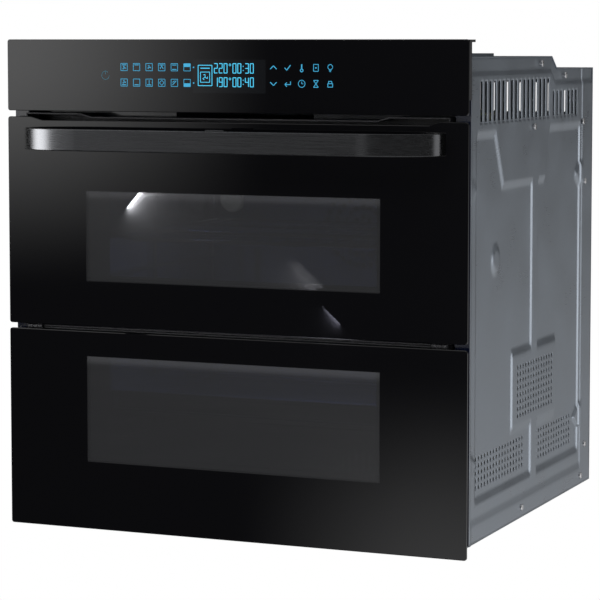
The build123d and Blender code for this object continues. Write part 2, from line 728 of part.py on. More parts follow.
def air_duct():
    """Flat duct from the blower to the slot above the doors."""
    half = BLOWER_L / 2 + 4
    end = BLOWER_Y - BLOWER_R - 4 - 8 - WALL_GAP
    z = SHELF_Z + SHEET
    tunnel = rect((-half, half), (z, z + DUCT_H))
    tunnel -= rect((SHEET - half, half - SHEET), (z + SHEET, z + DUCT_H - SHEET))
    return front_slab(tunnel, (CAVITY_Y + WOOL_GAP, end))


# --- control panel and electrics ------------------------------------------------------------------

def control_panel_glass():
    return glass_sheet((PANEL_Z, PANEL_TOP))


def control_panel_bezel():
    """Moulded carrier behind the control glass, with a shelf over the doors and a top lip."""
    x, y = FRONT_X - 0.3, (GLASS_T, GLASS_T + BEZEL_D)
    z = (PANEL_Z + BEZEL_LOW, PANEL_TOP - 0.3)
    inner_x = RECESS_X - 1
    bezel = box((-x, x), y, z)
    bezel -= box((BEZEL_T - x, x - BEZEL_T), (y[0], y[1] - BEZEL_T), (z[0] + BEZEL_T, z[1] - BEZEL_T))
    bezel += box((-x, x), (y[1], y[1] + 12), (z[1] - 3, z[1]))
    bezel += box((-inner_x, inner_x), y, (PANEL_Z + 2, z[0]))
    bezel += box((-inner_x, inner_x), (y[1], RECESS_Y - 0.1), (PANEL_Z + 2, PANEL_Z + 2 + BEZEL_T))
    return bezel


def display_module():
    y = (GLASS_T + 0.3, GLASS_T + 5.3)
    return box((-50, 50), y, (PANEL_Z + 23, PANEL_Z + 64))


def touch_board():
    """Touch sensor board, cut out round the display."""
    board = rect((-172, 150), (PANEL_Z + 26, PANEL_Z + 62))
    board -= rect((-51, 51), (PANEL_Z + 22, PANEL_Z + 66))
    board += rect((-60, 60), (PANEL_Z + 66.5, PANEL_Z + 69))
    board += rect((-60, -51.5), (PANEL_Z + 40, PANEL_Z + 69))
    board += rect((51.5, 60), (PANEL_Z + 40, PANEL_Z + 69))
    return front_slab(board, (GLASS_T + 0.3, GLASS_T + 1.9))


def power_board():
    """Power electronics on standoffs, beside the duct."""
    x, y = (BLOWER_L / 2 + 24, SIDE_X - 24), (CAVITY_Y + 40, CAVITY_Y + 170)
    z = SHELF_Z + SHEET
    board = box(x, y, (z + 6, z + 7.6))
    for px in (x[0] + 6, x[1] - 6):
        for py in (y[0] + 6, y[1] - 6):
            board += rod((px, py, z), (px, py, z + 6), 3)
    for i, (w, d, h) in enumerate(((30, 26, 24), (22, 22, 18), (34, 20, 28))):
        start = y[0] + 16 + i * 38
        board += box((x[0] + 20, x[0] + 20 + w), (start, start + d), (z + 7.6, z + 7.6 + h))
    for i in range(4):
        top = z + 7.6 + 26
        board += rod((x[1] - 30, y[0] + 24 + i * 26, z + 7.6), (x[1] - 30, y[0] + 24 + i * 26, top), 8)
    return board


def gland_x():
    return -(SIDE_X - 60)


def gland_z():
    return FOOT_H + 60


def cable_gland():
    """Flanged bush for the mains cable, in the rear panel."""
    y = BODY_D + SHEET
    gland = y_rod(gland_x(), (y, y + 4), gland_z(), GLAND_R + 3)
    gland += y_rod(gland_x(), (BODY_D - 8, y + 8), gland_z(), GLAND_R)
    return gland - y_rod(gland_x(), (BODY_D - 9, y + 9), gland_z(), CABLE_R)


def terminal_block():
    x, z = gland_x(), gland_z() + 34
    block = box((x - 30, x + 30), (BODY_D - 22, BODY_D), (z, z + 32))
    for i in range(3):
        block -= box((x - 26 + i * 18, x - 14 + i * 18), (BODY_D - 22, BODY_D - 8), (z, z + 14))
    return block


# --- doors ----------------------------------------------------------------------------------------

def door_shell(profile, window):
    """A folded steel door pan: open towards the glass, with a window in its back."""
    x = WINDOW_W / 2 + WINDOW_EDGE
    z = (window[0] - WINDOW_EDGE, window[1] + WINDOW_EDGE)
    pan = front_slab(profile, (GLASS_T, DOOR_D))
    pan -= front_slab(offset(profile, -DOOR_SHEET), (GLASS_T, DOOR_D - DOOR_SHEET))
    return pan - front_slab(rect((-x, x), z), (DOOR_D - 2 * DOOR_SHEET, DOOR_D + 1))


def pane(window, y):
    """An inner pane, a little larger than the window opening."""
    x = WINDOW_W / 2 + WINDOW_EDGE + PANE_LAP
    z = (window[0] - WINDOW_EDGE - PANE_LAP, window[1] + WINDOW_EDGE + PANE_LAP)
    return front_slab(rect((-x, x), z), (y, y + GLASS_T))


def spacers(window):
    """Upright strips that hold the panes apart, at both sides."""
    x = WINDOW_W / 2 + WINDOW_EDGE + 2
    z = (window[0] - WINDOW_EDGE, window[1] + WINDOW_EDGE)
    gaps = [(GLASS_T, MIDDLE_PANE_Y), (MIDDLE_PANE_Y + GLASS_T, inner_pane_y())]
    return group([s for y in gaps for s in both_sides(box((x, x + SPACER_W), y, z))])


def inner_pane_y():
    return DOOR_D - DOOR_SHEET - GLASS_T


def mid_notch():
    """Room round a middle hinge in the door pans' edges."""
    start = mid_hinge_x()[0] - 2
    return both_sides(box((start, DOOR_X + 1), (GLASS_T - 1, 9), (MID_Z - 12, MID_Z + 12)))


def lower_door_frame():
    z = (HINGE_Z + 2, MID_Z - 0.5)
    pan = door_shell(rect((-DOOR_X, DOOR_X), z), LOWER_WINDOW)
    half = HINGE_BAR_T / 2 + SIDE_PLAY + CHEEK_T + 0.3
    pocket = box((HINGE_BAR_X - half, HINGE_BAR_X + half), (GLASS_T - 1, 14.3), (z[0] - 1, z[0] + 9))
    return pan - both_sides(pocket) - mid_notch()


def upper_door_frame():
    low_z, high_z = MID_Z + 0.5, UPPER_TOP + FRAME_RISE
    end, ramp = DOOR_X - 74, DOOR_X - 89
    dip = high_z - TOP_DIP
    profile = outline([
        (-DOOR_X, low_z), (DOOR_X, low_z), (DOOR_X, high_z), (end, high_z), (ramp, dip),
        (-ramp, dip), (-end, high_z), (-DOOR_X, high_z),
    ])
    pan = door_shell(profile, UPPER_WINDOW)
    rear_edge = Pos(0, DOOR_D, high_z) * Rot(45, 0, 0) * Box(2 * FRONT_X, 3, 3)
    return pan - rear_edge - mid_notch()


def lower_door_glass():
    return glass_sheet((GLASS_Z, LOWER_TOP))


def upper_door_glass():
    """Outer glass whose top edge dips between its raised ends; drilled for the handle."""
    end, ramp = FRONT_X - DIP_END, FRONT_X - DIP_END - DIP_RAMP
    sheet = glass_sheet((UPPER_Z, UPPER_TOP))
    dip = outline([
        (-end, UPPER_TOP + 1), (-end, UPPER_TOP), (-ramp, UPPER_TOP - TOP_DIP),
        (ramp, UPPER_TOP - TOP_DIP), (end, UPPER_TOP), (end, UPPER_TOP + 1),
    ])
    sheet -= front_slab(dip, (-1, GLASS_T + 1))
    for x, z in handle_screw_places():
        sheet -= y_rod(x, (-1, GLASS_T + 1), z, SCREW_R + SCREW_PLAY)
    return sheet


def lower_door_middle_glass():
    return pane(LOWER_WINDOW, MIDDLE_PANE_Y)


def upper_door_middle_glass():
    return pane(UPPER_WINDOW, MIDDLE_PANE_Y)


def lower_door_inner_glass():
    return pane(LOWER_WINDOW, inner_pane_y())


def upper_door_inner_glass():
    return pane(UPPER_WINDOW, inner_pane_y())


def lower_glass_spacers():
    return spacers(LOWER_WINDOW)


def upper_glass_spacers():
    return spacers(UPPER_WINDOW)


# --- hinges ---------------------------------------------------------------------------------------

def door_hinge_bars():
    """Casing side of each bottom hinge: a bar with an eye, on a foot on the base plate."""
    half = HINGE_BAR_T / 2
    x = (HINGE_BAR_X - half, HINGE_BAR_X + half)
    bar = box(x, (HINGE_Y, CAVITY_Y + 60), (HINGE_Z - HINGE_EYE_R, HINGE_Z + 1.4))
    bar += x_rod(x, HINGE_Y, HINGE_Z, HINGE_EYE_R)
    bar += box((x[0] - 5, x[1] + 5), (CAVITY_Y + 14, CAVITY_Y + 70), (FOOT_H + SHEET, HINGE_Z + 1.4))
    bar -= x_rod((x[0] - 1, x[1] + 1), HINGE_Y, HINGE_Z, HINGE_PIN_R + RUNNING)
    return group(both_sides(bar))


def cheek_span():
    half = HINGE_BAR_T / 2 + SIDE_PLAY + CHEEK_T
    return (HINGE_BAR_X - half, HINGE_BAR_X + half)


def hinge_clevises():
    """Door side of each bottom hinge: a forked block round the bar's eye."""
    x = cheek_span()
    reach = HINGE_Y - GLASS_T - 0.6
    fork = box(x, (HINGE_Y - reach, HINGE_Y + reach), (HINGE_Z, HINGE_Z + 30))
    fork += x_rod(x, HINGE_Y, HINGE_Z, reach)
    slot = HINGE_BAR_T / 2 + SIDE_PLAY
    fork -= box((HINGE_BAR_X - slot, HINGE_BAR_X + slot), (0, 20), (HINGE_Z - 9, HINGE_Z + 5.5))
    fork -= x_rod((x[0] - 1, x[1] + 1), HINGE_Y, HINGE_Z, HINGE_PIN_R)
    return group(both_sides(fork))


def hinge_pins():
    return group(both_sides(x_rod(cheek_span(), HINGE_Y, HINGE_Z, HINGE_PIN_R)))


def mid_hinge_x():
    """Middle hinge between its inner end and the pan's side wall."""
    end = DOOR_X - DOOR_SHEET
    return (end - 3 * MID_KNUCKLE_L - 2 * SIDE_PLAY, end)


def leaf(knuckles, side):
    """One leaf of the middle hinge; side is +1 for the upper leaf, -1 for the lower."""
    x = mid_hinge_x()
    near, far = MID_Z + side * (MID_KNUCKLE_R + 0.4), MID_Z + side * 14
    y = (GLASS_T + 0.2, GLASS_T + 3.2)
    plate = box(x, y, (min(near, far), max(near, far)))
    for start in knuckles:
        span = (start, start + MID_KNUCKLE_L)
        plate += x_rod(span, MID_HINGE_Y, MID_Z, MID_KNUCKLE_R)
        web = (min(MID_Z, near + side), max(MID_Z, near + side))
        plate += box(span, (y[0], MID_HINGE_Y + MID_KNUCKLE_R), web)
    return plate


def mid_upper_leaves():
    x = mid_hinge_x()
    plate = leaf((x[0], x[1] - MID_KNUCKLE_L), 1)
    return group(both_sides(plate - x_rod((x[0] - 1, x[1] + 1), MID_HINGE_Y, MID_Z, MID_PIN_R)))


def mid_lower_leaves():
    x = mid_hinge_x()
    plate = leaf((x[0] + MID_KNUCKLE_L + SIDE_PLAY,), -1)
    bore = x_rod((x[0] - 1, x[1] + 1), MID_HINGE_Y, MID_Z, MID_PIN_R + RUNNING)
    return group(both_sides(plate - bore))


def mid_hinge_pins():
    return group(both_sides(x_rod(mid_hinge_x(), MID_HINGE_Y, MID_Z, MID_PIN_R)))


# --- handle ---------------------------------------------------------------------------------------

def bow(stand, bend):
    """Half of a stadium with elliptical ends, seen from above."""
    straight = HANDLE_SPAN / 2 - HANDLE_BEND
    shape = rect((-straight, straight), (-stand, 0))
    for side in (-1, 1):
        shape += Pos(side * straight, 0) * Ellipse(bend, stand)
    return shape - rect((-HANDLE_SPAN, HANDLE_SPAN), (0, stand + 1))


def handle_screw_places():
    z = HANDLE_Z + HANDLE_H / 2
    x = HANDLE_SPAN / 2 - HANDLE_T / 2
    return [(sx * x, z + dz) for sx in (-1, 1) for dz in (-6, 6)]


def handle_bar():
    """Flat bow handle of even thickness, with softened edges."""
    strap = bow(HANDLE_STAND, HANDLE_BEND) - bow(HANDLE_STAND - HANDLE_T, HANDLE_BEND - HANDLE_T)
    bar = Pos(0, 0, HANDLE_Z) * extrude(strap, HANDLE_H)
    edges = bar.faces().sort_by(Axis.Z)[-1].edges() + bar.faces().sort_by(Axis.Z)[0].edges()
    edges = [e for e in edges if e.center().Y < -0.5]
    bar = fillet(edges, 1.2)
    for x, z in handle_screw_places():
        bar -= y_rod(x, (-8, 1), z, SCREW_R)
    return bar


def handle_screws():
    screws = []
    for x, z in handle_screw_places():
        shank = y_rod(x, (-8, GLASS_T), z, SCREW_R)
        screws.append(shank + y_rod(x, (GLASS_T, GLASS_T + 2.5), z, SCREW_HEAD_R))
    return group(screws)


def lever_y():
    """Depths of the lever's stem behind the strap."""
    front = HANDLE_T - HANDLE_STAND + LEVER_PLAY
    return (front, front + LEVER_T)


def release_lever():
    """Thumb lever behind the strap; its pad stands just above the handle."""
    y, x = lever_y(), LEVER_W / 2
    top = HANDLE_TOP + LEVER_UP
    lever = box((-x, x), y, (HANDLE_Z + 5.5, top))
    pad = box((-x, x), (y[0], y[1] + 6), (top - 3, top))
    return lever + pad


def lever_guide():
    """Channel on the back of the strap that the lever slides in."""
    y, x = lever_y(), LEVER_W / 2 + LEVER_PLAY
    start = HANDLE_T - HANDLE_STAND
    z = (HANDLE_Z + 3, HANDLE_TOP - 9)
    guide = box((-x - 2, x + 2), (start, y[1] + LEVER_PLAY + 1.5), z)
    return guide - box((-x, x), (start, y[1] + LEVER_PLAY), (z[0] - 1, z[1] + 1))


# --- writing --------------------------------------------------------------------------------------

def save(name, shape):
    shift = -(REAR_Y - HANDLE_STAND) / 2
    export_step(Pos(0, shift, 0) * shape, f"parts/{name}.step")


PIECES = [
    casing_screws, top_cover_front, top_cover_rear, base_plate, base_feet, rear_panel, rear_cover,
    front_frame, oven_cavity, insulation_wrap, insulation_rear, component_shelf, door_gasket,
    fan_baffle, upper_fan, lower_fan, fan_motors, ring_heaters, grill_element, bottom_heater,
    lamp_glasses, lamp_holders, temperature_sensors, wire_rack, baking_tray, blower_housing,
    blower_impeller, blower_motor, air_duct, control_panel_glass, control_panel_bezel,
    display_module, touch_board, power_board, cable_gland, terminal_block, lower_door_frame,
    upper_door_frame, lower_door_glass, upper_door_glass, lower_door_middle_glass,
    upper_door_middle_glass, lower_door_inner_glass, upper_door_inner_glass, lower_glass_spacers,
    upper_glass_spacers, door_hinge_bars, hinge_clevises, hinge_pins, mid_upper_leaves,
    mid_lower_leaves, mid_hinge_pins, handle_bar, handle_screws, release_lever, lever_guide,
]


def main():
    os.makedirs("parts", exist_ok=True)
    for piece in PIECES:
        save(piece.__name__, piece())
    for name, make in (("side_panel", side_panel), ("side_rack", side_rack)):
        right = make()
        save(f"right_{name}", right)
        save(f"left_{name}", mirror(right, Plane.YZ))


main()
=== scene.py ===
import math

import bpy
import numpy as np
from mathutils import Euler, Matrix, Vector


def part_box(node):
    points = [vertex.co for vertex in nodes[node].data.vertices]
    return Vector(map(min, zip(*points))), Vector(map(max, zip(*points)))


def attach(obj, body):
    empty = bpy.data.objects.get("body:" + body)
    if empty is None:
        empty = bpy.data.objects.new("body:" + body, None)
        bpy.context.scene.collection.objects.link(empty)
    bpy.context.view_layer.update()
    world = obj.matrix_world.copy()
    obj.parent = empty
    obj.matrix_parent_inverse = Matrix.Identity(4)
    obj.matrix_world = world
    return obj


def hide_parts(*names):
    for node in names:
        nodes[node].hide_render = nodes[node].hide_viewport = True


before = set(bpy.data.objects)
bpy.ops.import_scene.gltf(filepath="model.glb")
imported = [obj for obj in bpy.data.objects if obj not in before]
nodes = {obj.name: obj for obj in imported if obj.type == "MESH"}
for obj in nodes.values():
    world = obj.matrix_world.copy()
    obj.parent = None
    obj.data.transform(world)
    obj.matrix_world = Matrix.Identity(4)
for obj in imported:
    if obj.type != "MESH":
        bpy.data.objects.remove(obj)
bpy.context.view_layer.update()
MM = 0.001

# --- viewpoint, studio and floor ------------------------------------------------------------------
# A long lens from the right and a little above the middle, in a white studio.  Glossy surfaces
# mirror a dark room with soft bright patches.  Two soft lights stand outside, and two small ones
# are just behind the doors.

glass_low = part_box("lower_door_glass")[0]
FRONT_Y = glass_low[1]
GLASS_Z = glass_low[2]


def at(x, y, z):
    """A point in metres from millimetres measured off the glass face and its lower edge."""
    return (x * MM, FRONT_Y + y * MM, GLASS_Z + z * MM)


view = bpy.data.cameras.new("view")
view.lens = 148.5
view.sensor_width = 36.0
view.shift_x = -0.0015
view.shift_y = -0.1005
view.clip_end = 50.0
camera = bpy.data.objects.new("view", view)
bpy.context.scene.collection.objects.link(camera)
camera.location = at(1217.7, -2647.3, 594.0)
camera.rotation_euler = Euler((math.radians(90 - 4.59), 0.0, math.radians(23.04)))
bpy.context.scene.camera = camera


class Nodes:
    """Short way to add and link shader nodes."""

    def __init__(self, tree):
        self.tree = tree

    def add(self, kind, **values):
        node = self.tree.nodes.new("ShaderNode" + kind)
        for name, value in values.items():
            if name[0] == "_":
                key = name[1:]
                socket = node.inputs[int(key)] if key.isdigit() else node.inputs[key.replace("_", " ")]
                if isinstance(value, bpy.types.NodeSocket):
                    self.tree.links.new(value, socket)
                else:
                    socket.default_value = value
            else:
                setattr(node, name, value)
        return node

    def math(self, operation, a, b=0.0):
        return self.add("Math", operation=operation, _0=a, _1=b).outputs[0]

    def smooth(self, value, low, high, first=0.0, last=1.0):
        """A smooth step from first at low to last at high."""
        node = self.add("MapRange", interpolation_type="SMOOTHSTEP", _0=value, _1=low, _2=high,
                        _3=first, _4=last)
        return node.outputs[0]


bpy.context.scene.view_settings.view_transform = "Standard"
world = bpy.data.worlds.new("studio")
bpy.context.scene.world = world
world.use_nodes = True
world.node_tree.nodes.clear()
w = Nodes(world.node_tree)
ray = w.add("LightPath")
toward = w.add("SeparateXYZ", _0=w.add("TexCoord").outputs["Generated"])
side, ahead, height = toward.outputs[0], toward.outputs[1], toward.outputs[2]


def patch(*edges):
    """A soft-edged patch of the room: each edge is a coordinate, where it is 0 and where it is 1."""
    level = 1.0
    for coordinate, out, full in edges:
        level = w.math("MULTIPLY", level, w.smooth(coordinate, out, full))
    return level


def total(*parts):
    """The room's patches added up, each with its own strength."""
    room = 0.03
    for level, strength in parts:
        room = w.math("ADD", room, w.math("MULTIPLY", level, strength))
    return room


FRONT = (ahead, 0.1, -0.1)
mirrored = total(
    (patch((side, -0.40, -0.50), (height, -0.10, 0.0), (ahead, -0.05, -0.3)), 2.1),
    (patch((side, -0.80, -0.90), (side, -1.02, -0.96), (ahead, 0.0, -0.1)), 14.0),
    (patch((side, -0.318, -0.30), (side, -0.24, -0.26), (height, -0.16, -0.12), FRONT), 1.6),
    (patch((side, -0.41, -0.33), (height, -0.13, -0.22), FRONT), 0.85),
    (patch((side, 0.80, 0.95), (ahead, -0.15, 0.05), (ahead, 0.7, 0.45)), 2.2),
    (patch((ahead, 0.0, 0.6), (height, 0.05, -0.25)), 0.25),
    (patch((ahead, 0.0, 0.6), (side, 0.24, 0.40), (height, 0.06, -0.22)), 0.55),
    (patch((height, 0.3, 0.9)), 0.6))
ambient = w.math("ADD", 0.32, w.math("MULTIPLY", ray.outputs["Is Camera Ray"], 0.68))
unmirrored = w.math("MULTIPLY", w.math("SUBTRACT", 1.0, ray.outputs["Is Glossy Ray"]), ambient)
seen = w.math("ADD", w.math("MULTIPLY", ray.outputs["Is Glossy Ray"], mirrored), unmirrored)
w.add("OutputWorld", _Surface=w.add("Background", _Color=(1, 1, 1, 1), _Strength=seen).outputs[0])


def soft_light(name, place, target, size, power):
    lamp = bpy.data.lights.new(name, "AREA")
    lamp.size, lamp.energy = size, power
    obj = bpy.data.objects.new(name, lamp)
    bpy.context.scene.collection.objects.link(obj)
    obj.location = place
    aim = np.array(target) - np.array(place)
    flat = math.hypot(aim[0], aim[1])
    obj.rotation_euler = Euler((math.atan2(flat, -aim[2]), 0.0, math.atan2(-aim[0], aim[1])))
    obj.visible_glossy = False


MIDDLE = (0.0, 0.0, 0.3)
soft_light("key", (-1.6, -2.4, 2.6), MIDDLE, 1.6, 30.0)
soft_light("low_right", (2.2, -1.6, -0.1), (0.3, 0.0, 0.1), 0.9, 28.0)
soft_light("cavity_light", at(-120, 52, 432), at(-40, 80, 360), 0.1, 3.0)
soft_light("tray_light", at(120, 52, 300), at(0, 90, 165), 0.1, 2.0)

bpy.ops.mesh.primitive_plane_add(size=30.0, location=(0.0, 0.0, -0.36))
floor = bpy.context.object
floor.name = "floor"
floor.visible_glossy = False
paper = bpy.data.materials.new("white_paper")
paper.use_nodes = True
p = Nodes(paper.node_tree)
lit_for_camera = p.add("LightPath").outputs["Is Camera Ray"]
glow = p.add("Emission", _Strength=p.math("ADD", 0.35, p.math("MULTIPLY", lit_for_camera, 0.65)))
p.tree.links.new(glow.outputs[0], p.tree.nodes["Material Output"].inputs[0])
floor.data.materials.append(paper)

# --- zinc-coated sheet ----------------------------------------------------------------------------
# The casing is thin zinc-coated steel: bluish grey, with a faint grain along the coil and cloudy
# patches in the coating.  Finish is the class that this and every later finish is made with.


class Finish(Nodes):
    """A surface finish on one Principled shader, with patterns laid out over the object in metres."""

    def __init__(self, name, colour, roughness, metallic=0.0, **fixed):
        self.material = bpy.data.materials.new(name)
        self.material.use_nodes = True
        super().__init__(self.material.node_tree)
        self.shader = self.tree.nodes["Principled BSDF"]
        self.shader.inputs["Base Color"].default_value = (*colour, 1.0)
        self.shader.inputs["Roughness"].default_value = roughness
        self.shader.inputs["Metallic"].default_value = metallic
        for key, value in fixed.items():
            self.shader.inputs[key.replace("_", " ")].default_value = value
        self.colour, self.roughness = colour, roughness
        self.place = self.add("TexCoord").outputs["Object"]
        self.xyz = self.add("SeparateXYZ", _0=self.place).outputs

    def stretched(self, sx, sy, sz):
        return self.add("Mapping", _Vector=self.place, _Scale=(sx, sy, sz)).outputs[0]

    def noise(self, scale, detail=3.0, vector=None):
        node = self.add("TexNoise", _Vector=vector or self.place, _Scale=scale, _Detail=detail)
        return node.outputs["Fac"]

    def ramp(self, value, low, high, first, last):
        return self.add("MapRange", _0=value, _1=low, _2=high, _3=first, _4=last).outputs[0]

    def mix(self, fac, first, last):
        node = self.add("Mix", data_type="RGBA", _0=fac)
        for socket, value in ((node.inputs[6], first), (node.inputs[7], last)):
            if isinstance(value, bpy.types.NodeSocket):
                self.tree.links.new(value, socket)
            else:
                socket.default_value = (*value, 1.0)
        return node.outputs[2]

    def set(self, name, value):
        self.tree.links.new(value, self.shader.inputs[name])

    def mottle(self, fac, spread):
        """Base colour that drifts by spread each way with a pattern."""
        darker = tuple(c * (1 - spread) for c in self.colour)
        lighter = tuple(min(1.0, c * (1 + spread)) for c in self.colour)
        self.set("Base Color", self.mix(fac, darker, lighter))

    def rough(self, fac, spread):
        self.set("Roughness", self.ramp(fac, 0.3, 0.7, self.roughness - spread, self.roughness + spread))

    def bump(self, height, distance, strength=1.0):
        node = self.add("Bump", _Height=height, _Distance=distance, _Strength=strength)
        self.set("Normal", node.outputs[0])

    def dress(self, *names):
        for name in names:
            obj = nodes[name] if isinstance(name, str) else name
            obj.data.materials.clear()
            obj.data.materials.append(self.material)


def zinc_sheet():
    f = Finish("zinc_sheet", (0.26, 0.29, 0.33), 0.34, 0.75)
    cloud = f.noise(14.0, 4.0)
    grain = f.noise(60.0, 2.0, f.stretched(1.0, 1.0, 22.0))
    both = f.math("ADD", f.math("MULTIPLY", cloud, 0.65), f.math("MULTIPLY", grain, 0.35))
    f.mottle(both, 0.16)
    f.rough(both, 0.09)
    f.bump(f.noise(500.0, 2.0), 0.00002, 0.3)
    return f


zinc = zinc_sheet()
zinc.dress("top_cover_front", "top_cover_rear", "base_plate", "rear_panel", "rear_cover",
           "component_shelf", "air_duct", "blower_housing")

# --- side panels ----------------------------------------------------------------------------------
# Each side is one pressed sheet: a shallow field with two deeper pads and a channel standing
# between them, louvres with rolled lips along the top, and three fields of air holes low down.

SHEET = 1.0
SIDE_X = 280.0
BODY_D = 553.0
BASE, TOP = 3.7, 575.0
TOP_LINE = ((0, 375, 397, 600), (TOP, TOP, TOP - 16, TOP - 16))
CORNER_Y, CORNER_Z = 28, 16
PERFORATIONS = ((314, 163, 14, 8, 10.7, 8.6), (181, 85, 17, 5, 11.07, 8.5),
                (397.5, 85, 14, 5, 11.04, 8.5))
HOLE_R, SNAP = 2.3, 0.7
LOUVRES = ((102.5, 17, 497, 547), (386, 7, 497, 531))
LOUVRE_PITCH = 16.3
SLOT_START, SLOT_END = -6.5, 2.0
SHOULDER, PAD_SHOULDER, TONGUE_SHOULDER = 4.0, 5.0, 6.0
FIELD_DEPTH, STRIP_DEPTH, PAD_DEPTH, LIP_DEPTH = 1.3, 1.2, 2.2, 0.6
FIELD_FRONT, FIELD_REAR, FIELD_FOOT = 62, 508, 28
STRIP_LINE = ((0, 372, 392, 600), (556, 556, 541, 541))
TONGUES, TONGUE_HALF = (97, 420), 14
FRONT_TONGUE, REAR_TONGUE = 26, 18
LIP_LENGTH = 3.0
BOSS_Y, BOSS_Z, BOSS_R, BOSS_HEIGHT = 160, 333, 15, 2.0
FOLD_R = 3.0
FRONT_PAD = ([(83, 50), (300, 50), (300, 119), (83, 119)],
             [(83, 100), (225, 100), (225, 225), (83, 225)],
             [(83, 210), (300, 210), (300, 422), (83, 422)],
             [(83, 400), (195, 400), (185, 424), (155, 487), (83, 487)])
REAR_PAD = ([(320, 49), (503, 49), (503, 117), (320, 117)],
            [(398, 100), (503, 100), (503, 225), (398, 225)],
            [(320, 210), (503, 210), (503, 422), (320, 422)],
            [(350, 400), (503, 400), (503, 487), (368, 487), (350, 424)])


def step(value, edge, width):
    """Smooth 0 to 1 across an edge, the soft shoulder of a pressing."""
    t = np.clip((value - edge) / width + 0.5, 0, 1)
    return t * t * (3 - 2 * t)


def inside(y, z, outline, width):
    """How far into a convex outline a point is, as a smooth 0 to 1 over the shoulder's width."""
    depth = np.full(np.broadcast(y, z).shape, 1e9)
    for (y0, z0), (y1, z1) in zip(outline, outline[1:] + outline[:1]):
        length = math.hypot(y1 - y0, z1 - z0)
        depth = np.minimum(depth, ((y1 - y0) * (z - z0) - (z1 - z0) * (y - y0)) / length)
    return step(depth, width / 2, width)


def past_louvre(y, first, count):
    """Distance of y behind the nearest louvre of a row."""
    return y - first - np.clip(np.round((y - first) / LOUVRE_PITCH), 0, count - 1) * LOUVRE_PITCH


def pressed(y, z):
    """Height of the pressed sheet against its outer plane, in millimetres."""
    field = step(y, FIELD_FRONT, SHOULDER) * (1 - step(y, FIELD_REAR, SHOULDER))
    field = field * step(z, FIELD_FOOT, SHOULDER)
    strip = step(z, np.interp(y, *STRIP_LINE), SHOULDER)
    h = -FIELD_DEPTH * field - STRIP_DEPTH * strip
    pads = np.zeros(h.shape)
    for part in FRONT_PAD + REAR_PAD:
        pads = np.maximum(pads, inside(y, z, part, PAD_SHOULDER))
    h -= PAD_DEPTH * pads
    h += BOSS_HEIGHT * (1 - step(np.hypot(y - BOSS_Y, z - BOSS_Z), BOSS_R, TONGUE_SHOULDER))
    for tongue_z in TONGUES:
        reach = np.clip(1 - np.abs(z - tongue_z) / TONGUE_HALF, 0, 1)
        front_end = FIELD_FRONT + FRONT_TONGUE * reach
        h += 1.3 * step(y, 60, TONGUE_SHOULDER) * (1 - step(y, front_end, TONGUE_SHOULDER))
        rear_start = 500 - REAR_TONGUE * reach
        rear = 2.4 * step(y, rear_start, TONGUE_SHOULDER) * (1 - step(y, 510, TONGUE_SHOULDER))
        h += rear * (reach > 0)
    for first, count, z0, z1 in LOUVRES:
        u = past_louvre(y, first, count)
        along = step(z, z0, 5) * (1 - step(z, z1, 5))
        lip = np.where(u > SLOT_END - 0.8, np.clip(1 - (u - SLOT_END) / LIP_LENGTH, 0, 1), 0)
        h -= LIP_DEPTH * along * lip ** 1.5
    fold = np.clip((20 - y) / FOLD_R, 0, 1)
    return h - FOLD_R * (1 - np.sqrt(np.clip(1 - fold ** 2, 0, 1)))


def nearest_hole(y, z, field):
    """The middle of the air hole nearest to each point."""
    y0, z0, columns, rows, pitch_y, pitch_z = field
    i = np.clip(np.round((y - y0) / pitch_y + (columns - 1) / 2), 0, columns - 1)
    j = np.clip(np.round((z - z0) / pitch_z + (rows - 1) / 2), 0, rows - 1)
    return y0 + (i - (columns - 1) / 2) * pitch_y, z0 + (j - (rows - 1) / 2) * pitch_z


def side_sheet(name, side):
    """Height field over a grid that is fine where there are holes; hole edges snap to circles."""
    ys = np.r_[np.linspace(17, 90, 22), np.arange(90, 512, 1.25), np.linspace(512, BODY_D, 12)]
    zs = np.r_[np.linspace(BASE, 64, 14), np.arange(64, 106, 1.25), np.linspace(106, 128, 6),
               np.arange(128, 198, 1.25), np.linspace(198, 490, 66), np.linspace(490, 552, 24),
               np.linspace(552, TOP, 10)]
    ys, zs = np.unique(np.round(ys, 3)), np.unique(np.round(zs, 3))
    y, z = np.meshgrid(ys, zs, indexing="ij")
    z = np.minimum(z, np.interp(ys, *TOP_LINE)[:, None])
    gone = np.zeros((len(ys) - 1, len(zs) - 1), bool)
    cy, cz = (y[1:, 1:] + y[:-1, :-1]) / 2, (z[1:, 1:] + z[:-1, :-1]) / 2
    for field in PERFORATIONS:
        hy, hz = nearest_hole(cy, cz, field)
        gone |= np.hypot(cy - hy, cz - hz) < HOLE_R
        hy, hz = nearest_hole(y, z, field)
        r = np.hypot(y - hy, z - hz)
        snap = (np.abs(r - HOLE_R) < SNAP) & (r > 0.1)
        y = np.where(snap, hy + (y - hy) * HOLE_R / np.maximum(r, 0.1), y)
        z = np.where(snap, hz + (z - hz) * HOLE_R / np.maximum(r, 0.1), z)
    for first, count, z0, z1 in LOUVRES:
        u = past_louvre(cy, first, count)
        gone |= (u > SLOT_START) & (u < SLOT_END) & (cz > z0 + 1) & (cz < z1 - 1)
    gone |= (z[1:, 1:] - z[1:, :-1] < 1e-6) & (z[:-1, 1:] - z[:-1, :-1] < 1e-6)
    gone |= (cy < CORNER_Y) & (cz < CORNER_Z)
    x = side * (SIDE_X + pressed(y, z))
    points = np.stack([x, y, z], -1).reshape(-1, 3) * MM + np.array([0, FRONT_Y, GLASS_Z])
    n = len(zs)
    i, j = np.nonzero(~gone)
    quad = np.stack([i * n + j, (i + 1) * n + j, (i + 1) * n + j + 1, i * n + j + 1], -1)
    if side < 0:
        quad = quad[:, ::-1]
    return surface(name, points, quad)


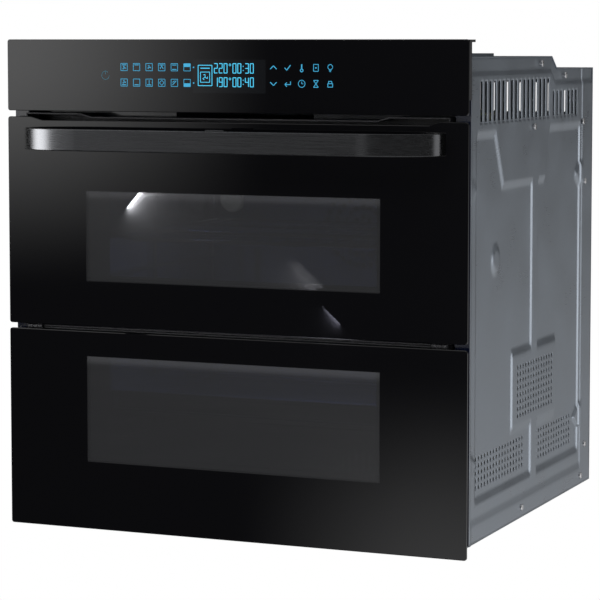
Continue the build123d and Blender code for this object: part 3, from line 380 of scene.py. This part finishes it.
def surface(name, points, faces, smooth=True):
    """A mesh object at the origin from whole arrays of points and faces."""
    used = np.unique(faces)
    renumber = np.zeros(len(points), int)
    renumber[used] = np.arange(len(used))
    mesh = bpy.data.meshes.new(name)
    mesh.from_pydata(points[used].tolist(), [], renumber[faces].tolist())
    mesh.validate()
    if smooth:
        mesh.polygons.foreach_set("use_smooth", [True] * len(mesh.polygons))
    obj = bpy.data.objects.new(name, mesh)
    bpy.context.scene.collection.objects.link(obj)
    return obj


for name, side in (("left", -1), ("right", 1)):
    sheet = side_sheet(name + "_side_sheet", side)
    wall = sheet.modifiers.new("thickness", "SOLIDIFY")
    wall.thickness, wall.offset = SHEET * MM, -1.0
    zinc.dress(sheet)
    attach(sheet, "casing")
    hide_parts(name + "_side_panel")

# --- front frame and cavity enamel ----------------------------------------------------------------
# One coat of dark blue vitreous enamel fired on steel: glossy, with faint orange peel, and pale
# specks inside the cavity.


def enamel(name, colour, specks):
    f = Finish(name, colour, 0.16, 0.0, Coat_Weight=0.5, Coat_Roughness=0.08)
    f.mottle(f.noise(9.0, 3.0), 0.25)
    if specks:
        dots = f.add("TexVoronoi", _Vector=f.place, _Scale=420.0).outputs["Distance"]
        fac = f.smooth(dots, 0.10, 0.06)
        f.set("Base Color", f.mix(fac, colour, (0.35, 0.38, 0.44)))
    f.rough(f.noise(30.0, 2.0), 0.05)
    f.bump(f.noise(160.0, 2.0), 0.00008, 0.5)
    return f


enamel("frame_enamel", (0.004, 0.007, 0.022), False).dress("front_frame")
enamel("cavity_enamel", (0.012, 0.016, 0.04), True).dress("oven_cavity", "fan_baffle", "baking_tray")

# --- wool, seal and plastics ----------------------------------------------------------------------
# Mineral wool blankets in a yellow-brown felt, a woven glass-fibre door seal, and moulded parts
# with a fine spark-eroded grain.


def wool():
    f = Finish("mineral_wool", (0.52, 0.43, 0.24), 0.95)
    fibres = f.noise(160.0, 6.0, f.stretched(1.0, 5.0, 1.0))
    f.mottle(fibres, 0.4)
    f.bump(fibres, 0.0012, 0.9)
    return f


def seal():
    f = Finish("fibre_seal", (0.05, 0.05, 0.052), 0.85)
    weave = f.add("TexWave", _Vector=f.place, _Scale=260.0, _Distortion=1.5).outputs["Fac"]
    f.mottle(weave, 0.5)
    f.bump(weave, 0.0005, 0.8)
    return f


def moulded(name, colour, roughness):
    """Moulded or pressed grain: a fine even bump with a slow drift in colour and gloss."""
    f = Finish(name, colour, roughness)
    f.mottle(f.noise(40.0, 3.0), 0.18)
    f.rough(f.noise(120.0, 2.0), 0.06)
    f.bump(f.noise(1500.0, 2.0), 0.00005, 0.8)
    return f


wool().dress("insulation_wrap", "insulation_rear")
seal().dress("door_gasket")
moulded("black_moulding", (0.012, 0.012, 0.014), 0.5).dress(
    "control_panel_bezel", "display_module", "terminal_block", "cable_gland", "lever_guide",
    "lower_glass_spacers", "upper_glass_spacers", "base_feet")
moulded("white_ceramic", (0.72, 0.69, 0.63), 0.4).dress("lamp_holders")

# --- wire, screws, fans and heaters ---------------------------------------------------------------
# Chromed wire for the rack and its ladders, bright zinc on screws and hinges, bare pressed metal
# for the fans, heating tubes darkened by firing, black steel for the door frames and the middle
# hinges, and green circuit boards.


def drawn(name, colour, roughness, metallic, spread):
    """Metal with streaks along its depth, in colour, gloss and relief."""
    f = Finish(name, colour, roughness, metallic)
    streak = f.noise(80.0, 4.0, f.stretched(6.0, 1.0, 6.0))
    f.mottle(streak, spread)
    f.rough(streak, roughness * 0.4)
    f.bump(streak, 0.00003, 0.5)
    return f


drawn("chromed_wire", (0.72, 0.73, 0.75), 0.14, 1.0, 0.1).dress(
    "wire_rack", "left_side_rack", "right_side_rack")
drawn("plated_steel", (0.62, 0.62, 0.63), 0.3, 1.0, 0.2).dress(
    "casing_screws", "handle_screws", "door_hinge_bars", "hinge_clevises", "hinge_pins",
    "temperature_sensors")
drawn("pressed_aluminium", (0.55, 0.56, 0.57), 0.35, 1.0, 0.12).dress(
    "upper_fan", "lower_fan", "blower_impeller", "fan_motors", "blower_motor")
drawn("fired_tube", (0.11, 0.10, 0.10), 0.5, 0.6, 0.35).dress(
    "ring_heaters", "grill_element", "bottom_heater")
drawn("black_steel", (0.012, 0.012, 0.014), 0.4, 0.4, 0.25).dress(
    "lower_door_frame", "upper_door_frame", "mid_hinge_pins", "mid_lower_leaves", "mid_upper_leaves")


def circuit_board():
    f = Finish("circuit_board", (0.02, 0.11, 0.05), 0.45)
    tracks = f.add("TexBrick", _Vector=f.place, _Scale=120.0, _Mortar_Size=0.06).outputs["Fac"]
    f.set("Base Color", f.mix(tracks, (0.02, 0.11, 0.05), (0.25, 0.2, 0.06)))
    f.bump(tracks, 0.0002, 0.6)
    return f


circuit_board().dress("touch_board", "power_board")

# --- front glass ----------------------------------------------------------------------------------
# Three sheets of 4 mm toughened glass with ground edges, printed black on the inner face.  The
# doors' print leaves a clear window with a fine line screen; the control glass is printed all over.

FRONT_X, GLASS_T, EDGE = 297.5, 4.0, 0.7


def corners(x, z0, z1, r):
    """A rounded rectangle, anticlockwise seen from the front: a quarter circle at each corner."""
    turn = np.linspace(0, math.pi / 2, 6)
    parts = []
    for cx, cz, start in ((x - r, z1 - r, 0), (r - x, z1 - r, 1), (r - x, z0 + r, 2), (x - r, z0 + r, 3)):
        a = turn + start * math.pi / 2
        parts.append(np.stack([cx + r * np.cos(a), cz + r * np.sin(a)], -1))
    return parts


def inset(loop, by):
    """The loop moved inwards by an even distance, along the mitre at each point."""
    edge = np.roll(loop, -1, 0) - loop
    edge /= np.linalg.norm(edge, axis=1, keepdims=True)
    out = np.stack([edge[:, 1], -edge[:, 0]], -1)
    before = np.roll(out, 1, 0)
    mitre = (out + before) / (1 + (out * before).sum(1, keepdims=True))
    return loop - by * mitre


def plate(name, loop, y0, y1, edge):
    """A flat sheet with a chamfer on both faces: four rings of the loop and two flat caps."""
    rings = [(edge, y0), (0, y0 + edge), (0, y1 - edge), (edge, y1)]
    points = np.concatenate([np.insert(inset(loop, by), 1, y, axis=1) for by, y in rings])
    points = points * MM + np.array([0, FRONT_Y, GLASS_Z])
    n = len(loop)
    i = np.arange(n)
    j = (i + 1) % n
    sides = [np.stack([k * n + i, k * n + n + i, k * n + n + j, k * n + j], -1) for k in range(3)]
    faces = np.concatenate(sides).tolist() + [i.tolist(), (3 * n + i)[::-1].tolist()]
    mesh = bpy.data.meshes.new(name)
    mesh.from_pydata(points.tolist(), [], faces)
    obj = bpy.data.objects.new(name, mesh)
    bpy.context.scene.collection.objects.link(obj)
    return obj


def millimetres(node_name):
    """A node's lowest and highest corners in millimetres off the glass face and its lower edge."""
    lo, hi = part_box(node_name)
    shift = np.array([0, FRONT_Y, GLASS_Z])
    return (np.array(lo) - shift) / MM, (np.array(hi) - shift) / MM


def front_glass(name, finish, dip):
    lo, hi = millimetres(name)
    loop = corners(FRONT_X, lo[2], hi[2], 3.0)
    if dip:
        top = [(FRONT_X - 31, hi[2]), (FRONT_X - 47, hi[2] - 4.2), (47 - FRONT_X, hi[2] - 4.2),
               (31 - FRONT_X, hi[2])]
        loop.insert(1, np.array(top))
    sheet = plate(name + "_sheet", np.concatenate(loop), 0.0, GLASS_T, EDGE)
    finish.dress(sheet)
    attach(sheet, "casing" if name.startswith("control") else name.replace("_glass", ""))
    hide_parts(name)


def printed_glass(name, window, print_colour, glass_colour, alpha, screen):
    """Opaque print with a hazy window, whose half width, foot and head are in millimetres.

    The window has a fine line screen and long streaks, and is paler along its head.
    """
    f = Finish(name, print_colour, 0.035, 0.0, IOR=1.5)
    x, z = f.math("ABSOLUTE", f.xyz[0]), f.xyz[2]
    half, z0, z1 = (v * MM for v in window)
    z0, z1 = z0 + GLASS_Z, z1 + GLASS_Z
    rim = 0.0004
    clear = f.smooth(x, half + rim, half - rim)
    clear = f.math("MULTIPLY", clear, f.smooth(z, z0 - rim, z0 + rim))
    clear = f.math("MULTIPLY", clear, f.smooth(z, z1 + rim, z1 - rim))
    lines = f.math("SINE", f.math("MULTIPLY", z, 2 * math.pi / (screen * MM)))
    streaks = f.noise(60.0, 2.0, f.stretched(0.15, 1.0, 9.0))
    tone = f.math("ADD", f.ramp(lines, -1.0, 1.0, 0.0, 0.5), f.math("MULTIPLY", streaks, 0.5))
    haze = f.mix(tone, tuple(c * 0.7 for c in glass_colour), tuple(c * 1.3 for c in glass_colour))
    head = f.smooth(z, z1 - 0.012, z1 - 0.002, 0.0, 0.75)
    haze = f.mix(head, haze, tuple(c * 2.6 for c in glass_colour))
    f.set("Base Color", f.mix(clear, print_colour, haze))
    f.set("Alpha", f.math("SUBTRACT", 1.0, f.math("MULTIPLY", clear, 1 - alpha)))
    f.bump(f.noise(7.0, 1.0), 0.0002, 0.25)
    return f


BLACK_PRINT = (0.0035, 0.0035, 0.0045)
HAZE = (0.062, 0.063, 0.067)
DISPLAY_Z = 552.5
LINE_PITCH = 3.1
UPPER_WINDOW, LOWER_WINDOW = (190.5, 304, 413), (190.5, 83, 212)


def plain_glass():
    """Print all over, with a faintly paler pane in front of the display."""
    f = Finish("control_print", BLACK_PRINT, 0.03, 0.0, IOR=1.5)
    across = f.math("ABSOLUTE", f.xyz[0])
    up = f.math("ABSOLUTE", f.math("SUBTRACT", f.xyz[2], GLASS_Z + DISPLAY_Z * MM))
    pane = f.math("MULTIPLY", f.smooth(across, 0.0475, 0.0465), f.smooth(up, 0.020, 0.0192))
    f.set("Base Color", f.mix(pane, BLACK_PRINT, (0.009, 0.010, 0.012)))
    f.bump(f.noise(7.0, 1.0), 0.0002, 0.25)
    return f


front_glass("control_panel_glass", plain_glass(), False)
front_glass("upper_door_glass", printed_glass(
    "upper_print", UPPER_WINDOW, BLACK_PRINT, HAZE, 0.45, LINE_PITCH), True)
front_glass("lower_door_glass", printed_glass(
    "lower_print", LOWER_WINDOW, BLACK_PRINT, HAZE, 0.5, LINE_PITCH), False)

# --- inner panes and lamp covers ------------------------------------------------------------------
# The middle and inner panes are clear with a dark printed border, each window a little narrower
# than the one in front, so the borders show one behind the other.  The lamp covers are pale
# pressed glass.

for door, (half, z0, z1) in (("upper", UPPER_WINDOW), ("lower", LOWER_WINDOW)):
    for pane_name, shrink in (("middle", 7), ("inner", 15)):
        window = (half - shrink, z0 - 1 + shrink / 3, z1 + 3)
        look = printed_glass(f"{door}_{pane_name}_print", window,
                             (0.006, 0.006, 0.007), (0.02, 0.02, 0.021), 0.10, 5.0)
        look.dress(f"{door}_door_{pane_name}_glass")

cover_glass = Finish("lamp_cover_glass", (0.75, 0.78, 0.78), 0.08, 0.0, Alpha=0.4)
cover_glass.bump(cover_glass.noise(250.0, 1.0), 0.0004, 0.5)
cover_glass.rough(cover_glass.noise(60.0), 0.03)
cover_glass.dress("lamp_glasses")

# --- lit symbols ----------------------------------------------------------------------------------
# Touch symbols and the clock display glow pale blue through the print.  Each stroke is a thin
# raised bar; the figures are seven-segment and the symbols are plain heating and menu signs.

STROKE_Y = (-0.10, 0.0)


def bars(name, strokes, finish):
    """Straight strokes as flat bars: each runs from a to b with its own width."""
    s = np.array(strokes, float)
    a, b, width = s[:, 0:2], s[:, 2:4], s[:, 4:5]
    run = (b - a) / np.linalg.norm(b - a, axis=1, keepdims=True)
    across = np.stack([-run[:, 1], run[:, 0]], -1) * width / 2
    flat = np.stack([a - across, b - across, b + across, a + across], 1)
    front = np.insert(flat, 1, STROKE_Y[0], axis=2)
    back = np.insert(flat, 1, STROKE_Y[1], axis=2)
    points = np.concatenate([front, back], 1).reshape(-1, 3) * MM + np.array([0, FRONT_Y, GLASS_Z])
    box = np.array([[0, 1, 2, 3], [7, 6, 5, 4], [0, 4, 5, 1], [1, 5, 6, 2], [2, 6, 7, 3], [3, 7, 4, 0]])
    faces = (np.arange(len(s))[:, None, None] * 8 + box).reshape(-1, 4)
    obj = surface(name, points, faces, smooth=False)
    finish.dress(obj)
    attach(obj, "casing")


def path(points, width=0.7, closed=False):
    """Strokes along a chain of points."""
    points = list(points) + ([points[0]] if closed else [])
    return [(*p, *q, width) for p, q in zip(points, points[1:])]


def frame_sign():
    s = 4.3
    return path([(-s, -s), (s, -s), (s, s), (-s, s)], 0.6, True)


def ring_sign(r, count=12, width=0.7, x=0.0, z=0.0):
    turn = np.linspace(0, 2 * math.pi, count, endpoint=False)
    return path([(x + r * math.cos(a), z + r * math.sin(a)) for a in turn], width, True)


def fan_sign(z=0.0, r=2.1):
    blades = []
    for k in range(3):
        a = math.pi / 2 + k * 2 * math.pi / 3
        blades += path([(0, z), (r * math.cos(a), z + r * math.sin(a)),
                        (r * math.cos(a + 0.7), z + r * math.sin(a + 0.7))], 0.7)
    return blades


TOP_BAR = path([(-2.8, 2.6), (2.8, 2.6)], 0.9)
LOW_BAR = path([(-2.8, -2.6), (2.8, -2.6)], 0.9)
HALF_TOP = path([(-4, 2.2), (4, 2.2)], 3.6)
HALF_LOW = path([(-4, -2.2), (4, -2.2)], 3.6)
HEATING_TOP = [fan_sign(-0.8) + TOP_BAR, TOP_BAR, fan_sign(),
               path([(-2, -2), (0, 1.6), (2, -2)], 0.8) + TOP_BAR, TOP_BAR + LOW_BAR, HALF_TOP]
HEATING_LOW = [fan_sign(0.8) + LOW_BAR, LOW_BAR, path([(0, -3), (0, 3)], 0.7) + LOW_BAR,
               path([(-3, 0), (0, 3), (3, 0), (0, -3)], 0.6, True), path([(-2.6, -2.6), (2.6, 2.6)], 0.8)
               + path([(-2.6, 0.6), (0.6, 2.6)], 0.6), HALF_LOW]
UP = path([(-4, -1.6), (0, 2.2), (4, -1.6)], 1.0)
DOWN = path([(-4, 1.6), (0, -2.2), (4, 1.6)], 1.0)
TICK = path([(-3.6, 0), (-1, -2.8), (3.8, 3)], 1.0)
BACK = path([(3.8, 2.6), (3.8, -1), (-3.2, -1)], 0.9) + path([(-0.8, 1.4), (-3.4, -1), (-0.8, -3.4)], 0.9)
PROBE = path([(0, 4), (0, -1.4)], 1.5) + ring_sign(1.7, 10, 1.0, 0, -3)
CLOCK = ring_sign(4.2, 16, 0.7) + path([(0, 2.6), (0, 0), (2, 0)], 0.7)
CARD = path([(-3, -4), (3, -4), (3, 4), (-3, 4)], 0.7, True) + path([(-1, 0), (1, 0)], 1.4)
GLASS_TIMER = path([(-3, 4), (3, 4), (-3, -4), (3, -4)], 0.8, True)
BULB = ring_sign(3, 12, 0.7, 0, 1) + path([(-1.4, -3), (1.4, -3)], 0.8) + path([(-1, -4.2), (1, -4.2)], 0.7)
LOCK = path([(-3, -3.6), (3, -3.6), (3, 0.4), (-3, 0.4)], 0.8, True)
LOCK += path([(-2, 0.4), (-2, 3), (2, 3), (2, 0.4)], 0.8)
DOT = path([(-0.8, 0), (0.8, 0)], 1.6)
UPPER_ROW, LOWER_ROW = 563, 544.5


def placed(sign, x, z):
    return [(a + x, b + z, c + x, d + z, width) for a, b, c, d, width in sign]


SEGMENTS = {"0": "abcdef", "1": "bc", "2": "abdeg", "3": "abcdg", "4": "bcfg", "9": "abcdfg"}


def figures(text, x, z0, z1):
    """Seven-segment figures between two heights, with a degree ring and a colon."""
    wide, gap, width = 4.0, 2.3, 0.9
    strokes = []
    middle = (z0 + z1) / 2
    ends = {"a": (0, z1, 1, z1), "b": (1, middle, 1, z1), "c": (1, z0, 1, middle),
            "d": (0, z0, 1, z0), "e": (0, z0, 0, middle), "f": (0, middle, 0, z1),
            "g": (0, middle, 1, middle)}
    for mark in text:
        if mark == "o":
            strokes += ring_sign(1.2, 8, 0.6, x + 1.4, z1 - 1.4)
            x += 5.2
        elif mark == ":":
            strokes += [(x + 0.2, middle + dz, x + 1.2, middle + dz, 1.0) for dz in (2.4, -2.4)]
            x += 3.4
        else:
            for segment in SEGMENTS[mark]:
                x0, za, x1, zb = ends[segment]
                strokes.append((x + x0 * wide, za, x + x1 * wide, zb, width))
            x += wide + gap
    return strokes


def lit(name, colour, strength):
    f = Finish(name, (0.02, 0.10, 0.14), 0.3, 0.0, Emission_Strength=strength)
    drift = f.noise(120.0, 1.0)
    f.set("Emission Color", f.mix(drift, tuple(c * 0.85 for c in colour), colour))
    return f


blue = lit("blue_light", (0.035, 0.36, 0.62), 1.0)
bright = lit("bright_blue_light", (0.07, 0.62, 0.95), 1.1)
dim = lit("dim_blue_light", (0.02, 0.07, 0.10), 0.8)

signs = []
for i in range(6):
    x = -138 + i * 16.7
    signs += placed(frame_sign() + HEATING_TOP[i], x, UPPER_ROW)
    signs += placed(frame_sign() + HEATING_LOW[i], x, LOWER_ROW)
signs += placed(DOT, -46, UPPER_ROW) + placed(DOT, -46, LOWER_ROW)
menu = ((UPPER_ROW, (UP, TICK, PROBE, CARD, BULB)), (LOWER_ROW, (DOWN, BACK, CLOCK, GLASS_TIMER, LOCK)))
for z, row in menu:
    for k, sign in enumerate(row):
        signs += placed(sign, 57 + k * 17.9, z)
bars("touch_signs", signs, blue)
oven_sign = path([(-9, -12), (9, -12), (9, 12), (-9, 12)], 0.8, True) + path([(-6, 8.5), (6, 8.5)], 1.0)
oven_sign += path([(-6, -8), (6, -8), (6, 4), (-6, 4)], 0.7, True) + fan_sign(-2, 3.4)
display = placed(oven_sign, -31, 553.5)
display += figures("220o00:30", -19, 556.5, 567.5) + figures("190o00:40", -19, 540.5, 551.0)
bars("display_figures", display, bright)
power = ring_sign(5, 20, 0.7, -163, 553)[3:] + path([(-163, 554), (-163, 559)], 0.7)
bars("power_sign", power, dim)

# --- handle ---------------------------------------------------------------------------------------
# A flat bow of dark anodised aluminium, brushed along its length.  The thumb lever behind it has
# the same finish.


def brushed(name):
    f = Finish(name, (0.052, 0.053, 0.056), 0.27, 0.95, Anisotropic=0.6, Anisotropic_Rotation=0.25)
    f.set("Tangent", f.add("Tangent", direction_type="RADIAL", axis="Z").outputs[0])
    lines = f.noise(900.0, 2.0, f.stretched(0.02, 0.3, 1.0))
    f.mottle(lines, 0.14)
    f.rough(lines, 0.04)
    f.bump(lines, 0.00001, 0.4)
    return f


brushed("dark_brushed_metal").dress("handle_bar", "release_lever")
